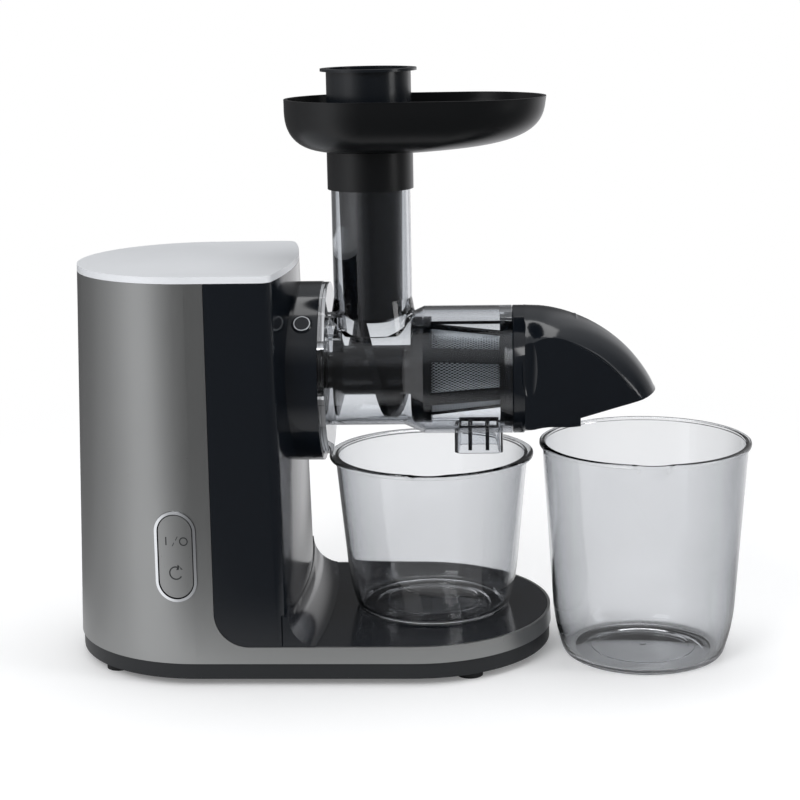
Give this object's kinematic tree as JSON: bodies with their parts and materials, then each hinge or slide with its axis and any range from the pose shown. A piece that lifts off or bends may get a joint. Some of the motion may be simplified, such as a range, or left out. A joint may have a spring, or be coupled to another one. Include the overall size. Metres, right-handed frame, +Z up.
{
  "type": "cold press juicer",
  "caption": "Horizontal cold press juicer with a motor tower, a clear twist-lock juicing head, a hopper tray with pusher, and separate juice and pulp cups.",
  "frame": {"origin": "centre of the bounding box on the table plane: the feet and the pulp cup stand at Z = 0", "axes": "+X from the motor tower towards the pulp beak, along the auger; +Y away from the switch side, to the back; +Z up"},
  "size_m": [0.4016, 0.162, 0.3446],
  "materials": {
    "wrap_metal": "satin dark grey lacquer over finely brushed sheet steel",
    "gloss_black": "gloss blue-black ABS",
    "top_silver": "silver lacquer, finely brushed",
    "base_black": "fine-grained black ABS",
    "foot_rubber": "soft black rubber",
    "steel": "plain turned steel",
    "ring_chrome": "bright chrome plating",
    "bush_brass": "sintered bronze",
    "seal_rubber": "grey silicone",
    "core_iron": "laminated core with varnish",
    "board_green": "circuit board laminate",
    "auger_black": "glass-filled black plastic, polished",
    "gear_nylon": "natural nylon",
    "button_grey": "gloss dark plastic with a light ring mark",
    "smoke_clear": "lightly smoked clear copolyester",
    "mesh_steel": "stainless filter mesh",
    "tray_black": "satin black ABS",
    "cup_clear": "lightly smoked clear plastic"
  },
  "bodies": {
    "root": {"wrap_panel": "wrap_metal", "front_housing": "gloss_black", "top_cover": "top_silver", "base_pan": "base_black", "feet": "foot_rubber", "foot_screws": "steel", "drive_collar": "gloss_black", "switch_bezel": "ring_chrome", "switch_body": "base_black", "gear_axle_pin": "steel", "gearbox_case": "base_black", "gearbox_cover": "base_black", "output_bushes": "bush_brass", "shaft_seal": "seal_rubber", "motor_can": "steel", "stator_core": "core_iron", "motor_bearings": "bush_brass", "motor_cradle": "base_black", "board_posts": "base_black", "control_board": "board_green", "cord_gland": "base_black"},
    "screw": {"output_shaft": "steel", "output_gear": "gear_nylon", "auger": "auger_black"},
    "middle_gear": {"intermediate_gear": "gear_nylon"},
    "rotor": {"motor_shaft": "steel", "motor_pinion": "steel", "rotor_core": "core_iron", "cooling_fan": "base_black"},
    "rocker": {"switch_rocker": "wrap_metal"},
    "button": {"release_button": "button_grey"},
    "drum": {"juicing_drum": "smoke_clear", "spout_grille": "auger_black", "drum_seal": "seal_rubber", "strainer_frame": "auger_black", "strainer_mesh": "mesh_steel"},
    "cap": {"end_cap": "gloss_black"},
    "tray": {"hopper_tray": "tray_black"},
    "pusher": {"pusher": "tray_black"},
    "juice_cup": {"juice_cup": "cup_clear"},
    "pulp_cup": {"pulp_cup": "cup_clear"}
  },
  "joints": [
    {"name": "auger_spin", "type": "hinge", "parent": "root", "child": "screw", "pos_m": [-0.04935, 0, 0.1679], "axis": [1, 0, 0], "continuous": true},
    {"name": "middle_gear_spin", "type": "hinge", "parent": "root", "child": "middle_gear", "pos_m": [-0.09285, 0, 0.1154], "axis": [1, 0, 0], "continuous": true},
    {"name": "rotor_spin", "type": "hinge", "parent": "root", "child": "rotor", "pos_m": [-0.10085, 0, 0.0769], "axis": [1, 0, 0], "continuous": true},
    {"name": "drum_twist", "type": "hinge", "parent": "root", "child": "drum", "pos_m": [-0.04935, 0, 0.1679], "axis": [1, 0, 0], "range_deg": [0, 20]},
    {"name": "cap_twist", "type": "hinge", "parent": "drum", "child": "cap", "pos_m": [0.06195, 0, 0.1679], "axis": [1, 0, 0], "range_deg": [-20, 0]},
    {"name": "tray_lift", "type": "slide", "parent": "drum", "child": "tray", "axis": [0, 0, 1], "range_m": [0, 0.08]},
    {"name": "pusher_lift", "type": "slide", "parent": "tray", "child": "pusher", "axis": [0, 0, 1], "range_m": [0, 0.15]},
    {"name": "rocker_tip", "type": "hinge", "parent": "root", "child": "rocker", "pos_m": [-0.12965, -0.07259, 0.077], "axis": [1, 0, 0], "range_deg": [-4, 4], "stiffness_Nm_per_rad": 0.6},
    {"name": "button_press", "type": "slide", "parent": "root", "child": "button", "axis": [0, 0.749, -0.6626], "range_m": [0, 0.0025], "stiffness_N_per_m": 400},
    {"name": "juice_cup_out", "type": "slide", "parent": "root", "child": "juice_cup", "axis": [0, -1, 0], "range_m": [0, 0.2]},
    {"name": "pulp_cup_out", "type": "slide", "parent": "root", "child": "pulp_cup", "axis": [0, -1, 0], "range_m": [0, 0.2]}
  ],
  "couplings": [
    {"joint": "middle_gear_spin", "follows": "auger_spin", "ratio": -4},
    {"joint": "rotor_spin", "follows": "auger_spin", "ratio": 18}
  ]
}
